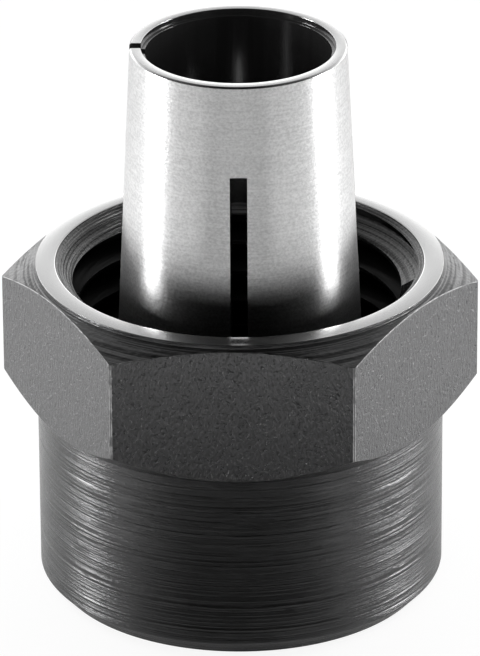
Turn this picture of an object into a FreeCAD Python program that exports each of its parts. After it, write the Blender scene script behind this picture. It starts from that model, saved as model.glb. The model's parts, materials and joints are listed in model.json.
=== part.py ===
"""Router collet: a split, tapered sleeve held captive in its clamping nut by a snap ring.

The part stands on the nose of its nut, as it would on a bench. Z runs up the common
axis, with zero at the nose face. The small end of the sleeve is at the top: it goes
into the tapered mouth of a router spindle, while the nut screws on to the outside
of the same spindle and pushes the sleeve in, which closes it on a tool's shank.

Sizes are in millimetres and degrees. The sheet named sizes holds the driving
dimensions. The sheet named places works out where each step of the stack lies:
outwards from the bore, and upwards from the nose.
"""

import FreeCAD
import Part
import Sketcher

import math
import os

doc = FreeCAD.newDocument("router_collet")

NUMBER_OF_FLATS = 6
NUMBER_OF_SLOTS = 4
# A sharp vee thread is deeper than its pitch by this share, once root and crest are flattened
THREAD_DEPTH_TO_PITCH = 0.6134

# Driving dimensions

SIZES = {
    # split sleeve
    "shank_bore_diameter": 12.7,
    "rim_wall": 1.07,
    "rim_edge_break": 0.12,
    "rim_recess_step": 0.286,
    "rim_recess_depth": 0.43,
    "taper_half_angle": 2.8,
    "sleeve_length": 38.0,
    "entry_chamfer": 0.6,
    "spigot_length": 1.8,
    "spigot_edge_break": 0.3,
    "nose_cone_step": 1.2,
    "nose_cone_angle": 45.0,
    "head_length": 1.7,
    "shoulder_step": 0.85,
    "slot_width": 1.17,
    "rim_slit_width": 0.9,
    "closed_rim_length": 6.44,
    "saw_radius": 20.0,
    "saw_overreach": 2.0,
    "sleeve_turn": 1.8,
    # snap ring
    "ring_thickness": 1.2,
    "ring_width": 1.4,
    "ring_opening": 4.0,
    "lip_hold": 0.3,
    # clearances between the three pieces
    "axial_float": 0.6,
    "float_clearance": 0.05,
    "ring_side_clearance": 0.1,
    "ring_outer_clearance": 0.15,
    "ring_inner_clearance": 0.45,
    "head_clearance": 0.15,
    "seat_clearance": 0.07,
    "spigot_clearance": 0.3,
    "thread_clearance": 1.342,
    # clamping nut
    "nut_height": 23.7,
    "nose_recess": 1.6,
    "nose_edge_width": 1.08,
    "nose_edge_height": 1.16,
    "nose_hole_break": 0.4,
    "lip_length": 1.2,
    "relief_length": 2.6,
    "relief_step": 0.15,
    "thread_pitch": 2.31,
    "mouth_step": 0.215,
    "nut_wall": 1.51,
    "flat_step": 0.2175,
    "hexagon_length": 10.25,
    "top_bevel_angle": 26.4,
    "under_bevel_angle": 36.7,
    "corner_break": 0.07,
    "seat_face_height": 0.3,
}

sizes = doc.addObject("Spreadsheet::Sheet", "sizes")
for row, (alias, value) in enumerate(SIZES.items(), start=1):
    sizes.set(f"A{row}", alias.replace("_", " "))
    sizes.set(f"B{row}", str(value))
    sizes.setAlias(f"B{row}", alias)

# Worked-out places: radii from the bore outwards, heights from the nose upwards

PLACES = {
    # sleeve and ring, heights
    "sleeve_front": "sizes.nose_recess",
    "sleeve_rim": "sleeve_front + sizes.sleeve_length",
    "cone_foot": "sleeve_front + sizes.spigot_length",
    "cone_top": "cone_foot + sizes.nose_cone_step / tan(sizes.nose_cone_angle)",
    "head_top": "cone_top + sizes.head_length",
    "ring_foot": "head_top + sizes.axial_float + sizes.float_clearance",
    "ring_top": "ring_foot + sizes.ring_thickness",
    "sleeve_groove_top": "ring_top + sizes.ring_side_clearance + sizes.float_clearance",
    "slot_end": "sleeve_rim - sizes.closed_rim_length",
    # sleeve and ring, radii
    "bore_radius": "sizes.shank_bore_diameter / 2",
    "rim_radius": "bore_radius + sizes.rim_wall",
    "shoulder_radius": "rim_radius + (sleeve_rim - sleeve_groove_top)"
                       " * tan(sizes.taper_half_angle)",
    "head_radius": "shoulder_radius + sizes.shoulder_step",
    "spigot_radius": "head_radius - sizes.nose_cone_step",
    "lip_radius": "head_radius + sizes.head_clearance",
    "ring_outer_radius": "lip_radius + sizes.lip_hold",
    "ring_inner_radius": "ring_outer_radius - sizes.ring_width",
    "sleeve_groove_radius": "ring_inner_radius - sizes.ring_inner_clearance",
    # path of the saw that cuts the slots: its disc stands outside and reaches into the bore
    "slot_end_radius": "rim_radius + sizes.closed_rim_length * tan(sizes.taper_half_angle)",
    "saw_inner_radius": "bore_radius - sizes.saw_overreach",
    "saw_centre_radius": "saw_inner_radius + sizes.saw_radius",
    "saw_centre_height": "slot_end - sqrt(sizes.saw_radius ^ 2"
                         " - (saw_centre_radius - slot_end_radius) ^ 2)",
    "saw_height_at_head": "saw_centre_height + sqrt(sizes.saw_radius ^ 2"
                          " - (saw_centre_radius - head_radius) ^ 2)",
    # nut, radii
    "nose_hole_radius": "spigot_radius + sizes.spigot_clearance",
    "ring_groove_radius": "ring_outer_radius + sizes.ring_outer_clearance",
    "thread_minor_radius": "head_radius + sizes.thread_clearance",
    "thread_major_radius": "thread_minor_radius"
                           f" + {THREAD_DEPTH_TO_PITCH} * sizes.thread_pitch",
    "relief_radius": "thread_major_radius + sizes.relief_step",
    "mouth_radius": "thread_major_radius + sizes.mouth_step",
    "skirt_radius": "thread_major_radius + sizes.nut_wall",
    "across_flats": "2 * (skirt_radius + sizes.flat_step)",
    "corner_radius": f"across_flats / 2 / cos(180 / {NUMBER_OF_FLATS})",
    "blank_radius": "corner_radius - sizes.corner_break",
    # nut, heights
    "seat_top": "cone_foot - sizes.seat_clearance"
                " + (lip_radius - spigot_radius) / tan(sizes.nose_cone_angle)",
    "seat_foot": "seat_top - (lip_radius - nose_hole_radius) / tan(sizes.nose_cone_angle)",
    "ring_groove_foot": "ring_foot - sizes.ring_side_clearance",
    "ring_groove_top": "ring_top + sizes.ring_side_clearance",
    "relief_foot": "ring_groove_top + sizes.lip_length",
    "relief_top": "relief_foot + sizes.relief_length",
    "mouth_foot": "sizes.nut_height - (mouth_radius - thread_minor_radius)",
    "hexagon_foot": "sizes.nut_height - sizes.hexagon_length",
    "under_bevel_top": "hexagon_foot + (blank_radius - skirt_radius)"
                       " * tan(sizes.under_bevel_angle)",
    "bevel_foot_at_rim": "sizes.nut_height - sizes.seat_face_height",
    "top_bevel_foot": "bevel_foot_at_rim - (blank_radius - skirt_radius)"
                      " * tan(sizes.top_bevel_angle)",
}

places = doc.addObject("Spreadsheet::Sheet", "places")
for row, (alias, formula) in enumerate(PLACES.items(), start=1):
    places.set(f"A{row}", alias.replace("_", " "))
    places.set(f"B{row}", "=" + formula)
    places.setAlias(f"B{row}", alias)
doc.recompute()


# Helpers for sketches and features

def value_of(expression):
    """Give the number that an expression on the two sheets has now."""
    return float(places.evalExpression(expression))


def origin_plane(body, role):
    """Find one of a body's own origin planes."""
    for feature in body.Origin.OriginFeatures:
        if feature.Role == role:
            return feature
    raise ValueError(role)


def add_body(name):
    body = doc.addObject("PartDesign::Body", name)
    body.Label = name
    return body


def add_sketch(body, name, role):
    sketch = body.newObject("Sketcher::SketchObject", name)
    sketch.AttachmentSupport = (origin_plane(body, role), [""])
    sketch.MapMode = "FlatFace"
    return sketch


def bind(sketch, kind, points, expression):
    """Add one dimension to a sketch and tie it to an expression."""
    constraint = Sketcher.Constraint(kind, *points, value_of(expression))
    number = sketch.addConstraint(constraint)
    sketch.setExpression(f"Constraints[{number}]", expression)


def arc_middle(start, end, radius):
    """Give the middle of an arc that bulges outwards from a loop drawn anticlockwise."""
    chord = end - start
    outwards = FreeCAD.Vector(chord.y, -chord.x, 0).normalize()
    bulge = radius - math.sqrt(radius ** 2 - (chord.Length / 2) ** 2)
    return (start + end) * 0.5 + outwards * bulge


def draw_loop(sketch, points, radii=None):
    """Draw a closed loop. Side N starts at point N and is straight, or an arc if it has a radius."""
    radii = radii or {}
    count = len(points)
    for number in range(count):
        start, end = points[number], points[(number + 1) % count]
        if number in radii:
            side = Part.Arc(start, arc_middle(start, end, radii[number]), end)
        else:
            side = Part.LineSegment(start, end)
        sketch.addGeometry(side, False)
    for number in range(count):
        following = (number + 1) % count
        sketch.addConstraint(Sketcher.Constraint("Coincident", number, 2, following, 1))


def draw_outline(sketch, corners, round_sides=None):
    """Draw a closed outline. Each corner is a pair of expressions, across and up.

    A side is straight, unless round_sides gives an expression for its radius.
    """
    round_sides = round_sides or {}
    points = [FreeCAD.Vector(value_of(across), value_of(up), 0) for across, up in corners]
    draw_loop(sketch, points, {side: value_of(radius) for side, radius in round_sides.items()})
    for side, radius in round_sides.items():
        bind(sketch, "Radius", (side,), radius)
    for number, (across, up) in enumerate(corners):
        if across == "0":
            sketch.addConstraint(Sketcher.Constraint("PointOnObject", number, 1, -2))
        else:
            bind(sketch, "DistanceX", (-1, 1, number, 1), across)
        if up == "0":
            sketch.addConstraint(Sketcher.Constraint("PointOnObject", number, 1, -1))
        else:
            bind(sketch, "DistanceY", (-1, 1, number, 1), up)


def turn_about_axis(body, kind, name, sketch):
    """Revolve a half section round the body's own Z axis, as added or cut metal."""
    feature = body.newObject(kind, name)
    feature.Profile = sketch
    feature.ReferenceAxis = (sketch, ["V_Axis"])
    feature.Angle = 360
    return feature


def draw_slot(sketch, width, foot, top):
    """Draw an upright rectangle that is centred on the axis of the part."""
    half = value_of(width) / 2
    draw_loop(sketch, [
        FreeCAD.Vector(-half, value_of(foot), 0),
        FreeCAD.Vector(half, value_of(foot), 0),
        FreeCAD.Vector(half, value_of(top), 0),
        FreeCAD.Vector(-half, value_of(top), 0),
    ])
    sketch.addConstraint(Sketcher.Constraint("Horizontal", 0))
    sketch.addConstraint(Sketcher.Constraint("Vertical", 1))
    sketch.addConstraint(Sketcher.Constraint("Vertical", 3))
    sketch.addConstraint(Sketcher.Constraint("Symmetric", 2, 1, 2, 2, -2))
    bind(sketch, "DistanceX", (0, 1, 0, 2), width)
    bind(sketch, "DistanceY", (-1, 1, 1, 1), foot)
    bind(sketch, "DistanceY", (-1, 1, 1, 2), top)


def cut_pocket(body, name, sketch, length):
    """Cut a sketch into a body, away from the way that its plane faces."""
    pocket = body.newObject("PartDesign::Pocket", name)
    pocket.Profile = sketch
    pocket.Type = 0
    pocket.setExpression("Length", length)
    return pocket


# Clamping nut: a turned blank, six milled flats, and the steps bored inside it

def build_clamping_nut():
    body = add_body("clamping_nut")

    blank_section = add_sketch(body, "nut_blank_section", "XZ_Plane")
    draw_outline(blank_section, [
        ("0", "0"),
        ("places.skirt_radius - sizes.nose_edge_width", "0"),
        ("places.skirt_radius", "sizes.nose_edge_height"),
        ("places.skirt_radius", "places.hexagon_foot"),
        ("places.blank_radius", "places.under_bevel_top"),
        ("places.blank_radius", "places.top_bevel_foot"),
        ("places.skirt_radius", "places.bevel_foot_at_rim"),
        ("places.skirt_radius", "sizes.nut_height"),
        ("0", "sizes.nut_height"),
    ])
    turn_about_axis(body, "PartDesign::Revolution", "nut_blank", blank_section)

    flats = add_sketch(body, "spanner_flats", "XY_Plane")
    draw_flats(flats)
    milled = cut_pocket(body, "milled_flats", flats, "sizes.nut_height")
    milled.Reversed = True

    inside_section = add_sketch(body, "nut_inside_section", "XZ_Plane")
    draw_outline(inside_section, [
        ("0", "0"),
        ("places.nose_hole_radius + sizes.nose_hole_break", "0"),
        ("places.nose_hole_radius", "sizes.nose_hole_break"),
        ("places.nose_hole_radius", "places.seat_foot"),
        ("places.lip_radius", "places.seat_top"),
        ("places.lip_radius", "places.relief_foot"),
        ("places.relief_radius", "places.relief_foot"),
        ("places.relief_radius", "places.relief_top"),
        ("places.thread_minor_radius",
         "places.relief_top + places.relief_radius - places.thread_minor_radius"),
        ("places.thread_minor_radius", "places.mouth_foot"),
        ("places.mouth_radius", "sizes.nut_height"),
        ("0", "sizes.nut_height"),
    ])
    turn_about_axis(body, "PartDesign::Groove", "nut_inside", inside_section)

    groove_section = add_sketch(body, "ring_groove_section", "XZ_Plane")
    draw_outline(groove_section, [
        ("places.spigot_radius", "places.ring_groove_foot"),
        ("places.ring_groove_radius", "places.ring_groove_foot"),
        ("places.ring_groove_radius", "places.ring_groove_top"),
        ("places.spigot_radius", "places.ring_groove_top"),
    ])
    turn_about_axis(body, "PartDesign::Groove", "ring_groove", groove_section)
    return body


def draw_flats(sketch):
    """Draw a hexagon inside a wider circle: what lies between them is milled away."""
    corner_radius = value_of("places.corner_radius")
    up = FreeCAD.Vector(0, 0, 1)
    corners = []
    for number in range(NUMBER_OF_FLATS):
        turn = FreeCAD.Rotation(up, 360 / NUMBER_OF_FLATS * number)
        corners.append(turn.multVec(FreeCAD.Vector(corner_radius, 0, 0)))
    draw_loop(sketch, corners)
    centre = FreeCAD.Vector(0, 0, 0)
    guide = sketch.addGeometry(Part.Circle(centre, up, corner_radius), True)
    outside = sketch.addGeometry(Part.Circle(centre, up, 2 * corner_radius), False)
    for number in range(1, NUMBER_OF_FLATS):
        sketch.addConstraint(Sketcher.Constraint("Equal", 0, number))
    for number in range(NUMBER_OF_FLATS - 1):
        sketch.addConstraint(Sketcher.Constraint("PointOnObject", number, 1, guide))
    sketch.addConstraint(Sketcher.Constraint("PointOnObject", 0, 1, -1))
    sketch.addConstraint(Sketcher.Constraint("Coincident", guide, 3, -1, 1))
    sketch.addConstraint(Sketcher.Constraint("Coincident", outside, 3, -1, 1))
    bind(sketch, "Radius", (guide,), "places.corner_radius")
    bind(sketch, "Radius", (outside,), "2 * places.corner_radius")


# Split sleeve: one turned blank, four slots from the head end, one of them slit on to the rim

def build_collet_sleeve():
    body = add_body("collet_sleeve")

    section = add_sketch(body, "sleeve_section", "XZ_Plane")
    draw_outline(section, [
        ("places.bore_radius + sizes.entry_chamfer", "places.sleeve_front"),
        ("places.spigot_radius - sizes.spigot_edge_break", "places.sleeve_front"),
        ("places.spigot_radius", "places.sleeve_front + sizes.spigot_edge_break"),
        ("places.spigot_radius", "places.cone_foot"),
        ("places.head_radius", "places.cone_top"),
        ("places.head_radius", "places.head_top"),
        ("places.sleeve_groove_radius", "places.head_top"),
        ("places.sleeve_groove_radius", "places.sleeve_groove_top"),
        ("places.shoulder_radius", "places.sleeve_groove_top"),
        ("places.rim_radius", "places.sleeve_rim - sizes.rim_edge_break"),
        ("places.rim_radius - sizes.rim_edge_break", "places.sleeve_rim"),
        ("places.bore_radius + sizes.rim_recess_step", "places.sleeve_rim"),
        ("places.bore_radius + sizes.rim_recess_step",
         "places.sleeve_rim - sizes.rim_recess_depth"),
        ("places.bore_radius", "places.sleeve_rim - sizes.rim_recess_depth"),
        ("places.bore_radius", "places.sleeve_front + sizes.entry_chamfer"),
    ])
    turn_about_axis(body, "PartDesign::Revolution", "sleeve_blank", section)

    slit = add_sketch(body, "rim_slit_outline", "YZ_Plane")
    draw_slot(slit, "sizes.rim_slit_width", "places.sleeve_front", "places.sleeve_rim")
    cut_pocket(body, "rim_slit", slit, "places.head_radius")

    saw_path = add_sketch(body, "saw_path", "XZ_Plane")
    draw_outline(saw_path, [
        ("places.saw_inner_radius", "places.sleeve_front"),
        ("places.head_radius", "places.sleeve_front"),
        ("places.head_radius", "places.saw_height_at_head"),
        ("places.saw_inner_radius", "places.saw_centre_height"),
    ], round_sides={2: "sizes.saw_radius"})
    slot = cut_pocket(body, "slot", saw_path, "sizes.slot_width")
    slot.SideType = "Symmetric"

    slots = body.newObject("PartDesign::PolarPattern", "slots")
    slots.Originals = [slot]
    slots.Axis = (saw_path, ["V_Axis"])
    slots.Angle = 360
    slots.Occurrences = NUMBER_OF_SLOTS
    body.Tip = slots

    body.Placement = FreeCAD.Placement(
        FreeCAD.Vector(0, 0, 0), FreeCAD.Rotation(FreeCAD.Vector(0, 0, 1), 1))
    body.setExpression("Placement.Rotation.Angle", "sizes.sleeve_turn")
    return body


# Retaining ring: flat spring steel, bent to an open ring

def build_retaining_ring():
    body = add_body("retaining_ring")
    section = add_sketch(body, "ring_section", "XZ_Plane")
    draw_outline(section, [
        ("places.ring_inner_radius", "places.ring_foot"),
        ("places.ring_outer_radius", "places.ring_foot"),
        ("places.ring_outer_radius", "places.ring_top"),
        ("places.ring_inner_radius", "places.ring_top"),
    ])
    ring = turn_about_axis(body, "PartDesign::Revolution", "open_ring", section)
    ring.setExpression("Angle", "360 - sizes.ring_opening / places.ring_outer_radius * 180 / pi")
    return body


bodies = [build_clamping_nut(), build_collet_sleeve(), build_retaining_ring()]
doc.recompute()

# Checks, then one file for each piece

for item in doc.Objects:
    if "Invalid" in item.State or "Error" in item.State:
        raise RuntimeError(f"{item.Name} has failed: {item.State}")

for body in bodies:
    shape = body.Shape
    if shape.isNull() or not shape.isValid() or len(shape.Solids) != 1:
        raise RuntimeError(f"{body.Label} is not one sound solid")
    box = shape.BoundBox
    print(f"{body.Label}: {shape.Volume:.1f} mm3, x {box.XMin:.2f} to {box.XMax:.2f},"
          f" y {box.YMin:.2f} to {box.YMax:.2f}, z {box.ZMin:.2f} to {box.ZMax:.2f}")

os.makedirs("parts", exist_ok=True)
for body in bodies:
    body.Shape.exportStep(f"parts/{body.Label}.step")

print(f"across flats {value_of('places.across_flats'):.3f}, thread major radius"
      f" {value_of('places.thread_major_radius'):.3f}, head radius"
      f" {value_of('places.head_radius'):.3f}")
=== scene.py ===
# %% [markdown]
# A router collet is two turned pieces and a hidden snap ring. The slim split sleeve takes
# the cutter's shank. The nut pushes the sleeve into the spindle's taper, which closes it.
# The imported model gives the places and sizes, so this file starts with it and adds looks.

import json
import math

import bpy
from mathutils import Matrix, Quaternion, Vector


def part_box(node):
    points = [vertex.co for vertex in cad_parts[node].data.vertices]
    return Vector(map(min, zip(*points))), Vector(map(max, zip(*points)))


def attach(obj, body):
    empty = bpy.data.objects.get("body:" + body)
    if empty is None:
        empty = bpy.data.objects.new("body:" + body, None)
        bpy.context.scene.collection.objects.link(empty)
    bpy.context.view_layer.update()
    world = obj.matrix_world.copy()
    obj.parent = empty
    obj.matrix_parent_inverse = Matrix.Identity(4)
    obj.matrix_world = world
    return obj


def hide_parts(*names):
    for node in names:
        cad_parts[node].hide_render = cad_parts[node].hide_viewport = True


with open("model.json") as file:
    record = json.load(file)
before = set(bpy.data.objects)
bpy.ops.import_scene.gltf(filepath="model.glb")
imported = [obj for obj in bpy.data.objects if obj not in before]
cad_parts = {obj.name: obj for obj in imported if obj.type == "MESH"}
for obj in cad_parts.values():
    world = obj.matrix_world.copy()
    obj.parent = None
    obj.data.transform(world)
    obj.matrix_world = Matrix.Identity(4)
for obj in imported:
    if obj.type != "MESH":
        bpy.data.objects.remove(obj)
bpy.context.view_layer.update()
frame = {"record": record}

# %% [markdown]
# Each piece is a turned one, so its whole shape is a list of radii and heights. What the
# frame knows is read from it, such as the height of the nut. The small steps that only
# the section shows are named below in millimetres, as a turner's drawing has them.

# %% Sizes that the frame gives
MM = 0.001
AXIS = (0.0, 0.0, 0.0)

nut_low, nut_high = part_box("clamping_nut")
sleeve_low, sleeve_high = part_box("collet_sleeve")
ring_low, ring_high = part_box("retaining_ring")
mounts = {mount["name"]: mount for mount in frame["record"]["mounts"]}

nut_top = nut_high.z
blank_radius = nut_high.x
half_across_flats = -mounts["spanner_flat"]["pos_m"][1]
bore_radius = mounts["shank_bore"]["dims"]["r_mm"] * MM
sleeve_front = sleeve_low.z
sleeve_rim = sleeve_high.z
head_radius = sleeve_high.x
ring_outer_radius = -ring_low.x
print(f"nut {(nut_top - nut_low.z) / MM:.2f} mm high")
print(f"spanner size {2 * half_across_flats / MM:.3f} mm")
print(f"sleeve from {sleeve_front / MM:.2f} to {sleeve_rim / MM:.2f} mm above the nose face")

# %% [markdown]
# The nut's steps come in the order in which a turner meets them: the bar's flats, the skirt
# inside them, the wall down to the thread, and the cuts that end the thread at each side.

# %% Sizes of the nut
flat_step = 0.2175 * MM
nut_wall = 1.51 * MM
thread_pitch = 2.31 * MM
THREAD_DEPTH_TO_PITCH = 0.6134
relief_step = 0.15 * MM
mouth_step = 0.215 * MM
hexagon_length = 10.25 * MM
seat_face_height = 0.3 * MM
under_bevel_angle = math.radians(36.7)
top_bevel_angle = math.radians(26.4)
nose_edge_width = 1.08 * MM
nose_edge_height = 1.16 * MM
nose_hole_break = 0.4 * MM

thread_depth = THREAD_DEPTH_TO_PITCH * thread_pitch
skirt_radius = half_across_flats - flat_step
thread_major_radius = skirt_radius - nut_wall
thread_minor_radius = thread_major_radius - thread_depth
relief_radius = thread_major_radius + relief_step
mouth_radius = thread_major_radius + mouth_step
mouth_foot = nut_top - (mouth_radius - thread_minor_radius)
hexagon_foot = nut_top - hexagon_length
seat_face_foot = nut_top - seat_face_height
under_bevel_rise = (blank_radius - skirt_radius) * math.tan(under_bevel_angle)
top_bevel_drop = (blank_radius - skirt_radius) * math.tan(top_bevel_angle)
print(f"thread from {thread_minor_radius / MM:.3f} to {thread_major_radius / MM:.3f} mm in radius")

# %% [markdown]
# The sleeve is held in the nut by a snap ring that lies half in a groove of each. What they
# share is worked out from one piece and a named clearance, so the two always fit.

# %% Sizes of the sleeve and the ring
ring_width = 1.4 * MM
ring_gap = 4.0 * MM
ring_side_clearance = 0.1 * MM
ring_inner_clearance = 0.45 * MM
float_clearance = 0.05 * MM
entry_chamfer = 0.6 * MM
spigot_length = 1.8 * MM
spigot_edge_break = 0.3 * MM
nose_cone_step = 1.2 * MM
head_length = 1.7 * MM
shoulder_step = 0.85 * MM
rim_wall = 1.07 * MM
rim_edge_break = 0.12 * MM
rim_recess_step = 0.286 * MM
rim_recess_depth = 0.43 * MM
closed_rim_length = 6.44 * MM
slot_width = 1.17 * MM
rim_slit_width = 0.9 * MM
sleeve_turn = math.radians(1.8)

ring_inner_radius = ring_outer_radius - ring_width
sleeve_groove_radius = ring_inner_radius - ring_inner_clearance
sleeve_groove_top = ring_high.z + ring_side_clearance + float_clearance
spigot_radius = head_radius - nose_cone_step
cone_foot = sleeve_front + spigot_length
cone_top = cone_foot + nose_cone_step
head_top = cone_top + head_length
shoulder_radius = head_radius - shoulder_step
rim_radius = bore_radius + rim_wall
recess_radius = bore_radius + rim_recess_step
ledge_height = sleeve_rim - rim_recess_depth
print(f"taper from {shoulder_radius / MM:.3f} to {rim_radius / MM:.3f} mm in radius")

# %% [markdown]
# A nut is bored to fit what it has to hold. So its seat, its lip and its grooves are worked
# out from the sleeve and the ring, each with a clearance of its own.

# %% Places in the nut that follow from the sleeve and the ring
head_clearance = 0.15 * MM
seat_clearance = 0.07 * MM
spigot_clearance = 0.3 * MM
ring_outer_clearance = 0.15 * MM
lip_length = 1.2 * MM
relief_length = 2.6 * MM

lip_radius = head_radius + head_clearance
nose_hole_radius = spigot_radius + spigot_clearance
seat_top = cone_foot - seat_clearance + lip_radius - spigot_radius
seat_foot = seat_top - (lip_radius - nose_hole_radius)
ring_groove_radius = ring_outer_radius + ring_outer_clearance
ring_groove_foot = ring_low.z - ring_side_clearance
ring_groove_top = ring_high.z + ring_side_clearance
relief_foot = ring_groove_top + lip_length
relief_top = relief_foot + relief_length
print(f"seat from {seat_foot / MM:.2f} to {seat_top / MM:.2f} mm above the nose face")

# %% [markdown]
# An operator acts on all that is selected, so nothing may be left selected by accident.
# These helpers start from an empty selection, and points, edges or faces are then marked
# by where they are, which still holds when a size changes.

# %% Helpers for selecting and bevelling
CLOSE_TOGETHER = 0.0005 * MM
TOUCHING = 0.01 * MM


def deselect_all():
    """Leave edit mode and select no object."""
    if bpy.context.object and bpy.context.object.mode != "OBJECT":
        bpy.ops.object.mode_set(mode="OBJECT")
    bpy.ops.object.select_all(action="DESELECT")


def work_on(piece):
    """Make one piece the only selected and active object."""
    deselect_all()
    piece.select_set(True)
    bpy.context.view_layer.objects.active = piece


def select_nothing(piece, kind):
    """Unmark all of a piece, and set the kind to mark next: VERT, EDGE or FACE."""
    work_on(piece)
    bpy.ops.object.mode_set(mode="EDIT")
    bpy.ops.mesh.select_mode(type=kind)
    bpy.ops.mesh.select_all(action="DESELECT")
    bpy.ops.object.mode_set(mode="OBJECT")


def pick_points(piece, wanted):
    """Select the points whose place passes a test, and go to edit mode."""
    select_nothing(piece, "VERT")
    for point in piece.data.vertices:
        point.select = wanted(point.co)
    bpy.ops.object.mode_set(mode="EDIT")


def bevel_picked_edges(width):
    """Bevel the selected edges with two narrow faces each, and leave edit mode."""
    bpy.ops.mesh.bevel(offset=width, segments=2, profile=0.5, affect="EDGES", clamp_overlap=True)
    bpy.ops.object.mode_set(mode="OBJECT")


def weld():
    """Select all of the piece, and merge points that lie in one place."""
    bpy.ops.mesh.select_all(action="SELECT")
    bpy.ops.mesh.remove_doubles(threshold=CLOSE_TOGETHER)


def face_outwards():
    """Turn the faces of the piece outwards, and leave edit mode."""
    bpy.ops.mesh.select_all(action="SELECT")
    bpy.ops.mesh.normals_make_consistent(inside=False)
    bpy.ops.object.mode_set(mode="OBJECT")


deselect_all()
print(f"{len(bpy.context.selected_objects)} objects selected at the start")

# %% [markdown]
# A lathe makes a shape by moving a tool along a section while the work turns. The same
# thing works here: one point is extruded from corner to corner of the half section, the
# corners that a tool or a file would round are bevelled, and the section is spun round
# the axis. Spinning gives even strips, which shade as cleanly as a turned face does.

# %% Helpers for turned pieces
STEPS_ROUND = 240
HALF_STEP = math.pi / STEPS_ROUND
CREASE_ANGLE = math.radians(30)


def draw_section(name, corners, turn=0.0):
    """Draw a closed half section. A corner is (radius, height) or (radius, height, rounding)."""
    deselect_all()
    first = corners[0]
    bpy.ops.mesh.primitive_plane_add(size=MM, location=(first[0], 0, first[1]))
    piece = bpy.context.object
    piece.name = name
    bpy.ops.object.transform_apply()
    bpy.ops.object.mode_set(mode="EDIT")
    bpy.ops.mesh.select_mode(type="VERT")
    bpy.ops.mesh.merge(type="CENTER")
    for here, there in zip(corners, corners[1:] + corners[:1]):
        step = (there[0] - here[0], 0, there[1] - here[1])
        bpy.ops.mesh.extrude_region_move(TRANSFORM_OT_translate={"value": step})
    weld()
    for rounding in sorted({corner[2] for corner in corners if len(corner) > 2}):
        places = [Vector((c[0], 0, c[1])) for c in corners if len(c) > 2 and c[2] == rounding]
        pick_points(piece, lambda co: any((co - p).length < CLOSE_TOGETHER for p in places))
        bpy.ops.mesh.bevel(offset=rounding, segments=3, profile=0.5, affect="VERTICES")
    bpy.ops.mesh.select_all(action="SELECT")
    if turn:
        bpy.ops.transform.rotate(value=turn, orient_axis="Z", center_override=AXIS)
    return piece


def spin_section(piece, angle=math.tau, steps=STEPS_ROUND):
    """Spin the drawn section round the axis and close the seam."""
    bpy.ops.mesh.spin(steps=steps, angle=angle, center=AXIS, axis=(0, 0, 1))
    weld()
    face_outwards()
    print(f"{piece.name}: {len(piece.data.polygons)} faces after the spin")


def smooth(piece):
    """Shade round faces smoothly and keep edges above the crease angle crisp."""
    work_on(piece)
    bpy.ops.object.shade_smooth_by_angle(angle=CREASE_ANGLE)
    modifier = piece.modifiers.new("even_shading", "WEIGHTED_NORMAL")
    modifier.keep_sharp = True
    bpy.ops.object.modifier_apply(modifier=modifier.name)


print(f"a round face is {STEPS_ROUND} strips, {math.degrees(2 * HALF_STEP):.1f} degrees each")

# %% [markdown]
# The lead-in cone at the nut's mouth carries fine marks from the lathe's feed. They are cut
# as real ridges of an uneven depth, about a hundredth of a millimetre, so the cone's section
# is a wavy line. Each wave needs four points, or smooth shading would hide it.

# %% Draw the lead-in cone
LEAD_IN_MARKS = 9
MARK_DEPTH = 0.013 * MM
MARK_UNEVENNESS = 0.5
POINTS_PER_MARK = 4


def marked_cone(low, high):
    """Corners of a cone's section from low to high, waving up and down with the feed marks."""
    corners = []
    points = POINTS_PER_MARK * LEAD_IN_MARKS
    for number in range(1, points):
        share = number / points
        uneven_depth = MARK_DEPTH * (1 + MARK_UNEVENNESS * math.sin(number * number))
        push = uneven_depth * math.sin(math.tau * number / POINTS_PER_MARK)
        corners.append((low[0] + (high[0] - low[0]) * share + push,
                        low[1] + (high[1] - low[1]) * share - push))
    return corners


lead_in_foot = (thread_minor_radius, mouth_foot)
lead_in_top = (mouth_radius, nut_top)
lead_in_cone = marked_cone(lead_in_foot, lead_in_top)
print(f"lead-in cone drawn with {len(lead_in_cone)} points")

# %% [markdown]
# The nut is one section, spun once: from the hole in its nose, up its outside over the skirt
# and the round blank of the hexagon, over the seat face, and down its inside through the
# lead-in, the plain bore where the thread will be, the groove for the ring, and the seat.

# %% Spin the nut
FINE_ROUNDING = 0.04 * MM
EDGE_ROUNDING = 0.08 * MM

nut = draw_section("clamping_nut_detail", [
    (nose_hole_radius + nose_hole_break, 0.0),
    (skirt_radius - nose_edge_width, 0.0, EDGE_ROUNDING),
    (skirt_radius, nose_edge_height, EDGE_ROUNDING),
    (skirt_radius, hexagon_foot),
    (blank_radius, hexagon_foot + under_bevel_rise),
    (blank_radius, seat_face_foot - top_bevel_drop),
    (skirt_radius, seat_face_foot),
    (skirt_radius, nut_top, FINE_ROUNDING),
    (mouth_radius, nut_top, FINE_ROUNDING),
    *reversed(lead_in_cone),
    lead_in_foot,
    (thread_minor_radius, relief_top + relief_radius - thread_minor_radius),
    (relief_radius, relief_top),
    (relief_radius, relief_foot),
    (lip_radius, relief_foot, FINE_ROUNDING),
    (lip_radius, ring_groove_top),
    (ring_groove_radius, ring_groove_top),
    (ring_groove_radius, ring_groove_foot),
    (lip_radius, ring_groove_foot),
    (lip_radius, seat_top),
    (nose_hole_radius, seat_foot),
    (nose_hole_radius, nose_hole_break),
], turn=HALF_STEP)
spin_section(nut)

# %% [markdown]
# The spindle screws into the nut, so its mouth has a coarse right-hand thread. A tap cuts
# such a thread, and the same is done here: the vee between two crests is drawn once, the
# Screw modifier winds it upwards from the run-out groove, and a boolean takes it away. The
# vee fades out by itself where it meets the lead-in cone, as a real one does.

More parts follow.
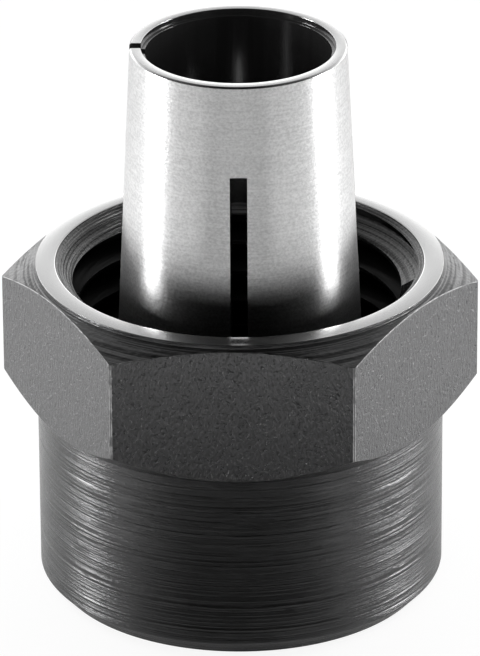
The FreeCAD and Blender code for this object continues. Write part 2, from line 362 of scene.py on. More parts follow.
# %% Wind the tap for the thread
THREAD_STEPS = 120
THREAD_TURNS = 6
INNER_REACH = 0.15 * MM
CAMERA_AZIMUTH = math.radians(2.17)
# Seen from the camera, the top root on the left lies this far below the mouth
TOP_ROOT_DEPTH = 2.03 * MM
# The winding starts on the right, this many turns below that root
TURNS_BELOW_IT = 4.5 + CAMERA_AZIMUTH / math.tau

VEE_SHARE = 0.4375
FLANK_ANGLE = math.radians(30)

vee_foot = nut_top - TOP_ROOT_DEPTH - TURNS_BELOW_IT * thread_pitch
vee_half_width = VEE_SHARE * thread_pitch
vee_slope = math.tan(FLANK_ANGLE)


def draw_vee():
    """Draw the vee's section as four corners, and leave only its outline."""
    root_half_width = vee_half_width - thread_depth * vee_slope
    mouth_half_width = vee_half_width + INNER_REACH * vee_slope
    return draw_section("thread_tap", [
        (thread_minor_radius - INNER_REACH, vee_foot - mouth_half_width),
        (thread_major_radius, vee_foot - root_half_width),
        (thread_major_radius, vee_foot + root_half_width),
        (thread_minor_radius - INNER_REACH, vee_foot + mouth_half_width),
    ])


def wind_upwards(piece, pitch, turns, steps):
    """Wind a drawn outline into a right-hand screw and close its two ends."""
    bpy.ops.object.mode_set(mode="OBJECT")
    work_on(piece)
    screw = piece.modifiers.new("screw", "SCREW")
    screw.axis = "Z"
    screw.angle = math.tau
    screw.screw_offset = pitch
    screw.iterations = turns
    screw.steps = steps
    screw.render_steps = steps
    bpy.ops.object.modifier_apply(modifier=screw.name)
    bpy.ops.object.mode_set(mode="EDIT")
    weld()
    bpy.ops.mesh.fill_holes(sides=4)
    face_outwards()


tap = draw_vee()
wind_upwards(tap, thread_pitch, THREAD_TURNS, THREAD_STEPS)
print(f"tap: {THREAD_TURNS} turns, {len(tap.data.polygons)} faces")

# %% [markdown]
# The tap is a closed solid now, so a boolean can take its space out of the nut, and what is
# left is the thread. The same helper saws the sleeve's slots further down.

# %% Cut the thread
def cut_away(piece, cutter):
    """Take a closed cutter's space out of a piece, and throw the cutter away."""
    work_on(piece)
    cut = piece.modifiers.new("cut", "BOOLEAN")
    cut.operation = "DIFFERENCE"
    cut.solver = "EXACT"
    cut.object = cutter
    bpy.ops.object.modifier_apply(modifier=cut.name)
    bpy.data.objects.remove(cutter)


cut_away(nut, tap)
print(f"nut: {len(nut.data.polygons)} faces with its thread")

# %% [markdown]
# The hexagon is left of the bar that the nut was turned from. Bisecting the spun blank
# with six planes gives exactly the curves that a lathe's bevel leaves on a hexagon's flats.

# %% Cut the six flats
NUMBER_OF_FLATS = 6


def flat_direction(number):
    """The way that a flat looks, which is midway between two corners."""
    angle = math.tau * (number + 0.5) / NUMBER_OF_FLATS
    return Vector((math.cos(angle), math.sin(angle), 0))


def on_a_flat(place, tolerance=TOUCHING):
    """True where a place lies on one of the flats, or that close behind it."""
    farthest = max(place.dot(flat_direction(number)) for number in range(NUMBER_OF_FLATS))
    return farthest > half_across_flats - tolerance


work_on(nut)
bpy.ops.object.mode_set(mode="EDIT")
for number in range(NUMBER_OF_FLATS):
    outwards = flat_direction(number)
    bpy.ops.mesh.select_all(action="SELECT")
    bpy.ops.mesh.bisect(plane_co=outwards * half_across_flats, plane_no=outwards,
                        use_fill=True, clear_outer=True, threshold=CLOSE_TOGETHER)
bpy.ops.object.mode_set(mode="OBJECT")
flat_areas = [face.area for face in nut.data.polygons if on_a_flat(face.center)]
print(f"{len(flat_areas)} flats of {flat_areas[0] / MM ** 2:.1f} square millimetres")

# %% [markdown]
# A sharp edge catches no light, and no real edge is quite sharp. So the edges round the
# flats, and the two edges of the thread's crest, are bevelled by a few hundredths of a
# millimetre. Such a bevel is less than a pixel wide, yet it draws the edge as a fine line.

# %% Soften the nut's edges
FLAT_EDGE_ROUNDING = 0.06 * MM
CREST_ROUNDING = 0.06 * MM
CREST_ANGLE = math.radians(40)


def soften_flats(piece, width):
    """Bevel every edge round the flats."""
    select_nothing(piece, "FACE")
    for face in piece.data.polygons:
        face.select = on_a_flat(face.center)
    bpy.ops.object.mode_set(mode="EDIT")
    bpy.ops.mesh.region_to_loop()
    bevel_picked_edges(width)


def at_crest_edge(place):
    """True where a place lies on the edge of a full turn of the thread's crest."""
    full_turn = relief_top + thread_pitch < place.z < mouth_foot - TOUCHING
    return full_turn and abs(place.xy.length - thread_minor_radius) < TOUCHING


def soften_crests(piece, width):
    """Bevel the two edges of the thread's crest."""
    select_nothing(piece, "EDGE")
    bpy.ops.object.mode_set(mode="EDIT")
    bpy.ops.mesh.edges_select_sharp(sharpness=CREST_ANGLE)
    bpy.ops.object.mode_set(mode="OBJECT")
    points = piece.data.vertices
    for edge in piece.data.edges:
        along_crest = all(at_crest_edge(points[number].co) for number in edge.vertices)
        edge.select = edge.select and along_crest
    print(f"{sum(edge.select for edge in piece.data.edges)} edges along the thread's crest")
    bpy.ops.object.mode_set(mode="EDIT")
    bevel_picked_edges(width)


soften_flats(nut, FLAT_EDGE_ROUNDING)
soften_crests(nut, CREST_ROUNDING)
smooth(nut)
print(f"nut: {len(nut.data.polygons)} faces in all")

# %% [markdown]
# The sleeve is one slim turned piece: a long taper outside, a shallow recess at the rim, and
# a head with a cone hidden in the nut. It is spun like the nut, from its own half section.

# %% Spin the sleeve
RIM_ROUNDING = 0.02 * MM

sleeve = draw_section("collet_sleeve_detail", [
    (bore_radius + entry_chamfer, sleeve_front),
    (spigot_radius - spigot_edge_break, sleeve_front),
    (spigot_radius, sleeve_front + spigot_edge_break),
    (spigot_radius, cone_foot),
    (head_radius, cone_top, FINE_ROUNDING),
    (head_radius, head_top, FINE_ROUNDING),
    (sleeve_groove_radius, head_top),
    (sleeve_groove_radius, sleeve_groove_top),
    (shoulder_radius, sleeve_groove_top, FINE_ROUNDING),
    (rim_radius, sleeve_rim - rim_edge_break, RIM_ROUNDING),
    (rim_radius - rim_edge_break, sleeve_rim, RIM_ROUNDING),
    (recess_radius, sleeve_rim, FINE_ROUNDING),
    (recess_radius, ledge_height, RIM_ROUNDING),
    (bore_radius, ledge_height, FINE_ROUNDING),
    (bore_radius, sleeve_front + entry_chamfer),
], turn=HALF_STEP)
spin_section(sleeve)

# %% [markdown]
# The sleeve is slotted four times with a disc saw that is pushed up from the head. It stops
# short of the rim and leaves its own curve at the end of each slot, which reaches higher
# outside than at the bore. Drawing what the saw sweeps, and taking that away, gives the
# curve without any guessing.

# %% Where the saw goes
SAW_RADIUS = 20.0 * MM
SAW_OVERREACH = 2.0 * MM
SAW_OVERRUN = 1.0 * MM
SAW_ARC_STEPS = 32

saw_foot = sleeve_front - SAW_OVERRUN
saw_outer_radius = head_radius + SAW_OVERRUN
saw_inner_radius = bore_radius - SAW_OVERREACH
saw_centre_radius = saw_inner_radius + SAW_RADIUS
taper_slope = (shoulder_radius - rim_radius) / (sleeve_rim - sleeve_groove_top)
slot_end_radius = rim_radius + closed_rim_length * taper_slope
slot_end_angle = math.acos((slot_end_radius - saw_centre_radius) / SAW_RADIUS)
saw_centre_height = sleeve_rim - closed_rim_length - SAW_RADIUS * math.sin(slot_end_angle)


def saw_section():
    """Corners of what the disc sweeps: straight up from the head, then round its edge."""
    first = math.acos((saw_outer_radius - saw_centre_radius) / SAW_RADIUS)
    corners = [(saw_inner_radius, saw_foot), (saw_outer_radius, saw_foot)]
    for number in range(SAW_ARC_STEPS + 1):
        angle = first + (math.pi - first) * number / SAW_ARC_STEPS
        corners.append((saw_centre_radius + SAW_RADIUS * math.cos(angle),
                        saw_centre_height + SAW_RADIUS * math.sin(angle)))
    return corners


print(f"taper of {math.degrees(math.atan(taper_slope)):.2f} degrees to each side of the axis")

# %% [markdown]
# One cutter is drawn and given the saw's thickness, and a turned copy of it cuts each slot.
# Last, the slot on the left is slit on through the rim with a thinner saw, so that the
# sleeve can close like a spring.

# %% Saw the slots
NUMBER_OF_SLOTS = 4


def thick_cutter(name, corners, width):
    """Fill a drawn outline and give it a width, half to each side of the plane y = 0."""
    cutter = draw_section(name, corners)
    bpy.ops.mesh.edge_face_add()
    bpy.ops.transform.translate(value=(0, -width / 2, 0))
    bpy.ops.mesh.extrude_region_move(TRANSFORM_OT_translate={"value": (0, width, 0)})
    face_outwards()
    return cutter


def turned_copy(piece, turn):
    """Copy a cutter and turn the copy round the axis."""
    work_on(piece)
    bpy.ops.object.duplicate()
    copy = bpy.context.object
    copy.rotation_euler.z = turn
    bpy.ops.object.transform_apply()
    return copy


slot_saw = thick_cutter("slot_saw", saw_section(), slot_width)
for number in range(NUMBER_OF_SLOTS):
    cut_away(sleeve, turned_copy(slot_saw, sleeve_turn + number * math.tau / NUMBER_OF_SLOTS))
bpy.data.objects.remove(slot_saw)
slit_top = sleeve_rim + SAW_OVERRUN
slit_saw = thick_cutter("slit_saw", [
    (saw_inner_radius, saw_foot),
    (saw_outer_radius, saw_foot),
    (saw_outer_radius, slit_top),
    (saw_inner_radius, slit_top),
], rim_slit_width)
cut_away(sleeve, turned_copy(slit_saw, math.pi + sleeve_turn))
bpy.data.objects.remove(slit_saw)
print(f"sleeve: {len(sleeve.data.polygons)} faces with its slots")

# %% [markdown]
# A saw leaves a burr, which is brushed off, so the slots' edges catch a hair of light where
# they meet the taper. Faces are sorted by where they are and which way they look: the edges
# that a taper face and a wall have in common are the ones to bevel.

# %% Break the slots' edges
SLOT_EDGE_ROUNDING = 0.04 * MM
EDGE_FACING = 0.9
BORE_MARGIN = 0.5 * MM


def on_taper(centre, normal):
    """True on the sleeve's outside, between its groove and its rim."""
    outwards = centre.x * normal.x + centre.y * normal.y > EDGE_FACING * centre.xy.length
    above_groove = centre.z > sleeve_groove_top
    return outwards and above_groove and centre.xy.length > bore_radius + BORE_MARGIN


def below_rim(centre, normal):
    """True on every face below the rim's bevel that isn't on the taper."""
    return not on_taper(centre, normal) and centre.z < sleeve_rim - rim_edge_break - TOUCHING


def edges_of(piece, wanted):
    """The edges of the faces whose centre and normal pass a test."""
    return {key for face in piece.data.polygons if wanted(face.center, face.normal)
            for key in face.edge_keys}


def soften_slots(piece, width):
    """Bevel the edges where a slot's walls meet the taper."""
    mouths = edges_of(piece, on_taper) & edges_of(piece, below_rim)
    select_nothing(piece, "EDGE")
    for edge in piece.data.edges:
        highest = max(piece.data.vertices[number].co.z for number in edge.vertices)
        edge.select = edge.key in mouths and highest > sleeve_groove_top + TOUCHING
    print(f"{sum(edge.select for edge in piece.data.edges)} edges round the slots")
    bpy.ops.object.mode_set(mode="EDIT")
    bevel_picked_edges(width)


soften_slots(sleeve, SLOT_EDGE_ROUNDING)
smooth(sleeve)
print(f"sleeve: {len(sleeve.data.polygons)} faces in all")

# %% [markdown]
# The snap ring is out of sight in its groove. It is flat spring steel bent to an open ring,
# so its section is spun by less than a full turn and the two ends are closed.

# %% Spin the snap ring
RING_STEPS = 180

ring = draw_section("retaining_ring_detail", [
    (ring_inner_radius, ring_low.z, EDGE_ROUNDING),
    (ring_outer_radius, ring_low.z, EDGE_ROUNDING),
    (ring_outer_radius, ring_high.z, EDGE_ROUNDING),
    (ring_inner_radius, ring_high.z, EDGE_ROUNDING),
])
spin_section(ring, angle=math.tau - ring_gap / ring_outer_radius, steps=RING_STEPS)
work_on(ring)
bpy.ops.object.mode_set(mode="EDIT")
bpy.ops.mesh.select_all(action="SELECT")
bpy.ops.mesh.fill_holes(sides=0)
face_outwards()
smooth(ring)
print(f"ring: {len(ring.data.polygons)} faces, with a gap of {ring_gap / MM:.1f} mm")

# %% [markdown]
# Finishes are written as sums. A Field holds one output socket, and adding, multiplying or
# comparing Fields adds the Math nodes that do it, so a pattern reads like its formula.

# %% A field that can be calculated with
class Field:
    """A number or colour that varies over a surface."""

    def __init__(self, tree, socket):
        self.tree = tree
        self.socket = socket

    def calculate(self, operation, first, second):
        """Add the Math node that does an operation on two Fields or numbers."""
        node = self.tree.nodes.new("ShaderNodeMath")
        node.operation = operation
        for place, value in enumerate((first, second)):
            if isinstance(value, Field):
                self.tree.links.new(value.socket, node.inputs[place])
            else:
                node.inputs[place].default_value = value
        return Field(self.tree, node.outputs[0])

    def __add__(self, other):
        return self.calculate("ADD", self, other)

    def __radd__(self, other):
        return self.calculate("ADD", other, self)

    def __sub__(self, other):
        return self.calculate("SUBTRACT", self, other)

    def __rsub__(self, other):
        return self.calculate("SUBTRACT", other, self)

    def __mul__(self, other):
        return self.calculate("MULTIPLY", self, other)

    def __rmul__(self, other):
        return self.calculate("MULTIPLY", other, self)

    def __truediv__(self, other):
        return self.calculate("DIVIDE", self, other)

    def __pow__(self, other):
        return self.calculate("POWER", self, other)


print("fields add, subtract, multiply, divide and raise to a power")

# %% [markdown]
# Every other kind of node comes from one method, which takes the node's settings first and
# then the values or links of its sockets. The steps that finishes often need come after it.

# %% Node trees
# A Mix node has sockets for each kind of value, and these are its sockets for colours
FIRST_COLOUR = 6
SECOND_COLOUR = 7
MIXED_COLOUR = 2


class Shading:
    """The node tree of a material or of the world, and one method for all its nodes."""

    def __init__(self, tree):
        self.tree = tree

    def node(self, kind, settings=None, inputs=None, output=0):
        """Add a node: settings first, then socket values or links, by name or number."""
        node = self.tree.nodes.new(kind)
        for name, value in (settings or {}).items():
            if name == "stops":
                self.set_stops(node.color_ramp, value)
            else:
                setattr(node, name, value)
        for name, value in (inputs or {}).items():
            if isinstance(value, Field):
                self.tree.links.new(value.socket, node.inputs[name])
            else:
                node.inputs[name].default_value = value
        return Field(self.tree, node.outputs[output]) if node.outputs else None

    def set_stops(self, ramp, stops):
        """Give a colour ramp its stops, each a place and a grey level."""
        while len(ramp.elements) < len(stops):
            ramp.elements.new(1.0)
        for element, (place, grey) in zip(ramp.elements, stops):
            element.position = place
            element.color = (grey, grey, grey, 1.0)

    def outputs(self, kind, *names, inputs=None):
        """Add a node and give several of its outputs, by name."""
        sockets = self.node(kind, inputs=inputs).socket.node.outputs
        return [Field(self.tree, sockets[name]) for name in names]

    def smooth_step(self, value, low, high):
        """Rise from 0 to 1 while value goes from low to high."""
        return self.node("ShaderNodeMapRange", {"interpolation_type": "SMOOTHSTEP"},
                         {"Value": value, "From Min": low, "From Max": high})

    def blend(self, share, first, second):
        """Mix two colours. Each is a grey number, a colour or a Field."""
        def colour(value):
            if isinstance(value, (int, float)):
                return (value, value, value, 1.0)
            return value
        colours = {FIRST_COLOUR: colour(first), SECOND_COLOUR: colour(second)}
        return self.node("ShaderNodeMix", {"data_type": "RGBA"},
                         {"Factor": share, **colours}, output=MIXED_COLOUR)


print(f"colours enter a Mix node at its sockets {FIRST_COLOUR} and {SECOND_COLOUR}")

# %% [markdown]
# A Finish is one material with the few patterns that metal needs: cloudy noise, grooves that
# run round the axis, and bump. They start from the place on the piece itself, so that they
# move along with it.

# %% A finish
class Finish(Shading):
    """One material. Its surface is set with constants, and with Fields where it varies."""

    def __init__(self, name, **constants):
        self.material = bpy.data.materials.new(name)
        self.material.use_nodes = True
        super().__init__(self.material.node_tree)
        self.surface = self.tree.nodes["Principled BSDF"]
        for socket, value in constants.items():
            self.surface.inputs[socket.replace("_", " ")].default_value = value
        self.place = self.node("ShaderNodeTexCoord", output="Object")
        self.height, = self.outputs("ShaderNodeSeparateXYZ", "Z", inputs={"Vector": self.place})

    def vary(self, socket, field):
        """Feed a Field to one socket of the surface."""
        self.tree.links.new(field.socket, self.surface.inputs[socket])

    def tint(self, share, first, second):
        """Blend two colours into the colour of the surface."""
        self.vary("Base Color", self.blend(share, first, second))

    def noise(self, along_x, along_y, along_z, detail=2.0, roughness=0.5):
        """Cloudy noise, with so many clouds to a millimetre along each axis."""
        size = (along_x / MM, along_y / MM, along_z / MM)
        where = self.node("ShaderNodeMapping", inputs={"Vector": self.place, "Scale": size})
        return self.node("ShaderNodeTexNoise", inputs={
            "Vector": where, "Scale": 1.0, "Detail": detail, "Roughness": roughness})

    def grooves(self, count):
        """Uneven grooves round the axis, about so many to a millimetre of height."""
        return self.node("ShaderNodeTexNoise", {"noise_dimensions": "1D"}, {
            "W": self.height * (count / MM), "Scale": 1.0, "Detail": 3.0, "Roughness": 0.6})

    def bump(self, height, depth):
        """Feed a height of 0 to 1, depth metres deep, to the surface's normal."""
        self.vary("Normal", self.node("ShaderNodeBump", inputs={
            "Height": height, "Distance": depth, "Strength": 1.0}))


# Metal that is smoother than this counts as a mirror, and the denoiser smears its grain
SHARPEST_GRAIN = 0.275
print(f"grain that has to show needs a roughness of {SHARPEST_GRAIN} or more")

# %% [markdown]
# The nut is blackened steel, a thin dark oxide that still shines. Its flats keep the skin of
# the drawn bar: satin, full of tiny dark pits, with specks where the black has worn off.
# Both come from one noise, its high places for pits and its low places for specks.

# %% The finish of the flats
def drawn_bar_finish():
    """Satin black, with pits and specks about a tenth of a millimetre wide."""
    finish = Finish("black_drawn_flat", Metallic=1.0)
    grain = finish.noise(6.0, 6.0, 2.5, detail=3.0, roughness=0.6)
    patches = finish.noise(0.35, 0.35, 0.35, detail=3.0)
    dots = finish.noise(5.0, 5.0, 5.0)
    pits = finish.smooth_step(dots, 0.6, 0.7)
    specks = finish.smooth_step(1 - dots, 0.6, 0.7)
    black = finish.blend(grain, (0.1, 0.1, 0.101, 1.0), (0.17, 0.17, 0.172, 1.0))
    worn = finish.blend(specks, black, 0.18)
    finish.tint(pits * 0.5, worn, 0.03)
    finish.vary("Roughness", 0.3 + patches * 0.1)
    finish.bump(grain * 0.55 + specks * 0.2 - pits * 0.25, 0.1 * MM)
    return finish.material


def worn_edge_finish():
    """The fine bevels round the flats, where spanners have rubbed the black thin."""
    finish = Finish("worn_edge", Metallic=1.0)
    rubbed = finish.smooth_step(finish.noise(1.5, 1.5, 1.5, detail=3.0), 0.35, 0.6)
    finish.tint(rubbed, 0.15, 0.36)
    finish.vary("Roughness", 0.28 + rubbed * 0.06)
    return finish.material


flat_black = drawn_bar_finish()
worn_edge = worn_edge_finish()
print("made:", flat_black.name, worn_edge.name)

# %% [markdown]
# Where the lathe has been, short bright streaks run round the skirt and the bevels. A tool
# leaves grooves that depend on the height alone, so they are noise in one dimension. A wide
# cloudy noise makes them deep in some places and faint in others, which breaks the streaks.

# %% The finish of the turned faces
def turned_black_finish():
    """Glossy black with streaks that run round the axis."""
    finish = Finish("black_turned", Metallic=1.0)
    grooves = finish.grooves(3.5)
    specks = finish.noise(3.0, 3.0, 7.0)
    patches = finish.noise(0.25, 0.25, 0.4)
    breaks = finish.smooth_step(finish.noise(0.3, 0.3, 1.5), 0.3, 0.6)
    finish.tint(patches, (0.075, 0.075, 0.076, 1.0), (0.105, 0.105, 0.106, 1.0))
    finish.vary("Roughness", 0.276 + patches * 0.05)
    finish.bump((grooves - 0.5) * (0.3 + breaks * 0.7) + specks * 0.16, 0.22 * MM)
    return finish.material


turned_black = turned_black_finish()
print("made:", turned_black.name)

# %% [markdown]
# Inside, the black is painted darker than outside: painted shade for the nut's hollow. The
# lead-in cone and the thread's crests are touched by the spindle each time, so they shine a little
# more. Only the ring that seats on the spindle is ground bright, nearly a mirror.

# %% The finishes at the mouth and inside
def lead_in_finish():
    """The cone at the mouth: black, with uneven feed marks that run round it."""
    finish = Finish("black_lead_in", Metallic=1.0)
    marks = finish.grooves(6.0)
    specks = finish.noise(4.0, 4.0, 6.0, detail=3.0)
    streaks = finish.smooth_step(marks, 0.4, 0.62)
    finish.tint(streaks * 0.7 + specks * 0.3, 0.005, 0.09)
    finish.vary("Roughness", 0.276 + specks * 0.03)
    finish.bump(marks * 0.5 + specks * 0.5, 0.1 * MM)
    return finish.material


def ground_seat_finish():
    """The seat ring: ground bright, nearly a mirror, with a faint even grain."""
    finish = Finish("bright_seat", Metallic=1.0)
    grain = finish.noise(9.0, 9.0, 9.0)
    finish.tint(grain, 0.45, 0.52)
    finish.vary("Roughness", 0.16 + grain * 0.06)
    finish.bump(grain, 0.001 * MM)
    return finish.material


def threaded_finish_painted_shade():
    """The inside: black painted darker as painted shade, hardly shining at a low angle, with fine
    streaks.
    """
    finish = Finish("black_inside_painted_shade", Metallic=1.0, Specular_Tint=(0.35, 0.35, 0.35, 1.0))
    streaks = finish.noise(0.3, 0.3, 7.0, detail=3.0)
    # Darker than the outside's black: this is painted shade in the nut's hollow
    finish.tint(streaks, 0.015, 0.04)
    finish.vary("Roughness", 0.276 + streaks * 0.06)
    finish.bump(streaks, 0.02 * MM)
    return finish.material


lead_in_black = lead_in_finish()
seat_bright = ground_seat_finish()
inside_black_painted_shade = threaded_finish_painted_shade()
print("made:", lead_in_black.name, seat_bright.name, inside_black_painted_shade.name)

# %% [markdown]
# A finish goes on face by face. Each line below gives one finish to the faces that pass a
# test on their centre and normal, and a later line paints over an earlier one.

# %% Put the finishes on the nut
LOOKS_INWARDS = -0.1
CONE_LOOKS_UP = 0.3
SEAT_LOOKS_UP = 0.6


def wear(piece, finish, wanted):
    """Give a finish to the faces whose centre and normal pass a test."""
    if finish.name not in piece.data.materials:
        piece.data.materials.append(finish)
    slot_number = piece.data.materials.find(finish.name)
    faces = [face for face in piece.data.polygons if wanted(face.center, face.normal)]
    for face in faces:
        face.material_index = slot_number
    print(f"{finish.name}: {len(faces)} faces of {piece.name}")


def everywhere(centre, normal):
    """True for every face."""
    return True


def inside_the_nut(centre, normal):
    """True where a face looks towards the axis, or lies within the mouth."""
    looks_inwards = centre.x * normal.x + centre.y * normal.y < LOOKS_INWARDS * centre.xy.length
    return looks_inwards or centre.xy.length < mouth_radius - TOUCHING and centre.z > TOUCHING


def on_lead_in(centre, normal):
    """True on the cone in the nut's mouth."""
    in_mouth = centre.xy.length < mouth_radius - TOUCHING and centre.z > mouth_foot
    return in_mouth and normal.z > CONE_LOOKS_UP


def on_crest(centre, normal):
    """True on the thread's crests and on the bevels beside them."""
    return centre.z > relief_top and centre.xy.length < thread_minor_radius + CREST_ROUNDING


def on_seat(centre, normal):
    """True on the ring round the mouth that the spindle's face meets."""
    return normal.z > SEAT_LOOKS_UP and centre.z > nut_top - FINE_ROUNDING


wear(nut, turned_black, everywhere)
wear(nut, worn_edge, lambda centre, normal: on_a_flat(centre, FLAT_EDGE_ROUNDING))
wear(nut, flat_black, lambda centre, normal: on_a_flat(centre))
# The inside's darker black is painted shade
wear(nut, inside_black_painted_shade, inside_the_nut)
wear(nut, lead_in_black, on_lead_in)
wear(nut, lead_in_black, on_crest)
wear(nut, seat_bright, on_seat)

# %% [markdown]
# The sleeve's taper is ground, so it is the brightest face of all, with a grain too fine
# to count. Grinding round the axis stretches a reflection along it, which the anisotropic
# setting does. That is why the lamps show as long stripes down the sleeve.

# %% The finish of the taper
def ground_taper_finish():
    """Ground steel, bright and faintly clouded."""
    finish = Finish("bright_taper", Metallic=1.0, Anisotropic=0.82, Anisotropic_Rotation=0.25)
    grain = finish.noise(5.0, 5.0, 6.0, detail=3.0, roughness=0.6)
    lines = finish.noise(0.5, 0.5, 7.0)
    cloud = finish.smooth_step(grain * 0.7 + lines * 0.3, 0.3, 0.7)
    finish.tint(cloud, 0.56, 0.82)
    finish.vary("Roughness", SHARPEST_GRAIN + cloud * 0.02)
    finish.bump(grain, 0.016 * MM)
    return finish.material


taper_bright = ground_taper_finish()
print("made:", taper_bright.name)

# %% [markdown]
# The bore, the slots and the head keep the black of the heat treatment, with an oily gloss.
# The rim was faced before grinding and is plain bright steel. The hidden ring is plain
# spring steel with a film of oil.

# %% The other finishes of the sleeve, and the ring's
def black_bore_finish():
    """Oily black with faint marks along the bore."""
    finish = Finish("black_bore", Metallic=0.85)
    streaks = finish.noise(3.0, 3.0, 0.15, detail=3.0)
    finish.tint(streaks, 0.07, 0.13)
    finish.vary("Roughness", 0.12 + streaks * 0.12)
    finish.bump(streaks, 0.003 * MM)
    return finish.material


def faced_rim_finish():
    """Plain bright steel, faced on the lathe."""
    finish = Finish("bright_rim", Metallic=1.0)
    grain = finish.noise(6.0, 6.0, 6.0, detail=3.0)
    finish.tint(grain, 0.42, 0.5)
    finish.vary("Roughness", 0.16 + grain * 0.1)
    finish.bump(grain, 0.002 * MM)
    return finish.material


def spring_steel_finish():
    """Grey spring steel, lightly clouded by oil."""
    finish = Finish("oiled_spring_steel", Metallic=1.0)
    cloud = finish.noise(1.2, 1.2, 1.2, detail=4.0)
    finish.tint(cloud, 0.2, 0.34)
    finish.vary("Roughness", 0.25 + cloud * 0.15)
    finish.bump(cloud, 0.004 * MM)
    return finish.material


def on_rim(centre, normal):
    """True on the rim's face and its broken edge, outside the recess."""
    at_rim = centre.z > sleeve_rim - rim_edge_break - TOUCHING
    outside_recess = centre.xy.length > recess_radius - TOUCHING
    return at_rim and outside_recess and not on_taper(centre, normal)


wear(sleeve, black_bore_finish(), everywhere)
wear(sleeve, taper_bright, on_taper)
wear(sleeve, faced_rim_finish(), on_rim)
wear(ring, spring_steel_finish(), everywhere)

# %% [markdown]
# Every piece takes the place of its plain solid and rides on the same body, so that the
# sleeve still lifts and the nut still turns when the joints move.

# %% Hand the pieces over to the frame
for piece, node, body, slot in (
    (nut, "clamping_nut", "nut", "nut_black_oxide"),
    (sleeve, "collet_sleeve", "sleeve", "sleeve_ground_steel"),
    (ring, "retaining_ring", "ring", "ring_spring_steel"),
):
    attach(piece, body)
    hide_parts(node)
    print(f"{piece.name} rides on the {body} with {len(piece.data.materials)} finishes")

# %% [markdown]
# The part stands on a pale table in a plain studio. Shiny black metal shows only what is
# round it, so the studio is built like a photographer's: a pale backdrop behind, two soft
# boxes at the sides, and a dim room on the camera's side and overhead. The table first: the
# camera sees most of it as plain white, and a small share of it lit, which keeps the shadow.

# %% The table
TABLE_SIZE = 4.0
TABLE_GREY = (0.9, 0.9, 0.9, 1.0)
TABLE_WHITE = 1.04
PLAIN_SHARE = 0.85


def build_table():
    """A broad pale table whose top is the floor that the part stands on."""
    deselect_all()
    bpy.ops.mesh.primitive_plane_add(size=TABLE_SIZE, location=(0, 0, 0))
    table = bpy.context.object
    table.name = "table"
    material = bpy.data.materials.new("pale_table")
    material.use_nodes = True
    material.node_tree.nodes.clear()
    shading = Shading(material.node_tree)
    lit = shading.node("ShaderNodeBsdfDiffuse", inputs={"Color": TABLE_GREY})
    white = shading.node("ShaderNodeEmission", inputs={"Strength": TABLE_WHITE})
    straight, = shading.outputs("ShaderNodeLightPath", "Is Camera Ray")
    shown = shading.node("ShaderNodeMixShader",
                         inputs={0: straight * PLAIN_SHARE, 1: lit, 2: white})
    shading.node("ShaderNodeOutputMaterial", inputs={"Surface": shown})
    table.data.materials.append(material)
    return table


table = build_table()
print(f"table {table.dimensions.x:.1f} m wide")

# %% [markdown]
# The front flat and the front of the skirt are darker than the sides, though all of them are the
# same black. A flat face shows the piece of table in front of it, which lies in the part's shade.
# A dark card laid there, out of the picture, is that shade painted in. Only the metal's
# reflections see it.

# %% The painted shade card
# The card's grey is painted shade for the table in front of the part
SHADE_CARD_GREY = (0.08, 0.08, 0.08, 1.0)
CARD_WIDTH = 30 * MM
CARD_SPREAD = 2.4
CARD_NEAR = -15 * MM
CARD_FAR = -60 * MM
CARD_HEIGHT = 0.2 * MM


def build_painted_shade_card():
    """A dull dark card on the table, wider towards the camera: painted shade that only reflections
    show.
    """
    deselect_all()
    middle = (0, (CARD_NEAR + CARD_FAR) / 2, CARD_HEIGHT)
    bpy.ops.mesh.primitive_plane_add(size=1.0, location=middle)
    card = bpy.context.object
    card.name = "painted_shade_card"
    card.scale = (CARD_WIDTH, CARD_NEAR - CARD_FAR, 1)
    for point in card.data.vertices:
        if point.co.y < 0:
            point.co.x *= CARD_SPREAD
    # A dark grey that stands in for the table's shade: painted shade, seen only in reflections
    card.data.materials.append(Finish("painted_shade_card", Base_Color=SHADE_CARD_GREY).material)
    card.visible_camera = False
    card.visible_diffuse = False
    card.visible_shadow = False


build_painted_shade_card()
print(f"grey card from {-CARD_NEAR / MM:.0f} to {-CARD_FAR / MM:.0f} mm in front of the axis")

# %% [markdown]
# The backdrop is the world itself, so it costs no lamp. It is brightest behind the part and
# low down, where the seat ring and the rim mirror it, and fades upwards, which leaves the
# bevels dark. The camera alone sees the world as plain white.

# %% The backdrop
BACKDROP_LEVEL = 3.4
BACKDROP_FADE = ((0.22, 1.0), (0.4, 0.37), (0.9, 0.15), (1.0, 0.03))
BACKDROP_EDGE = (0.0, 0.6)
ROOM_LEVEL = 0.12
FRONT_EDGE = (0.3, 0.9)
FRONT_DARKNESS = 0.9
# A little more than one, so that the root stays above zero straight up
ABOVE_ONE = 1.0001


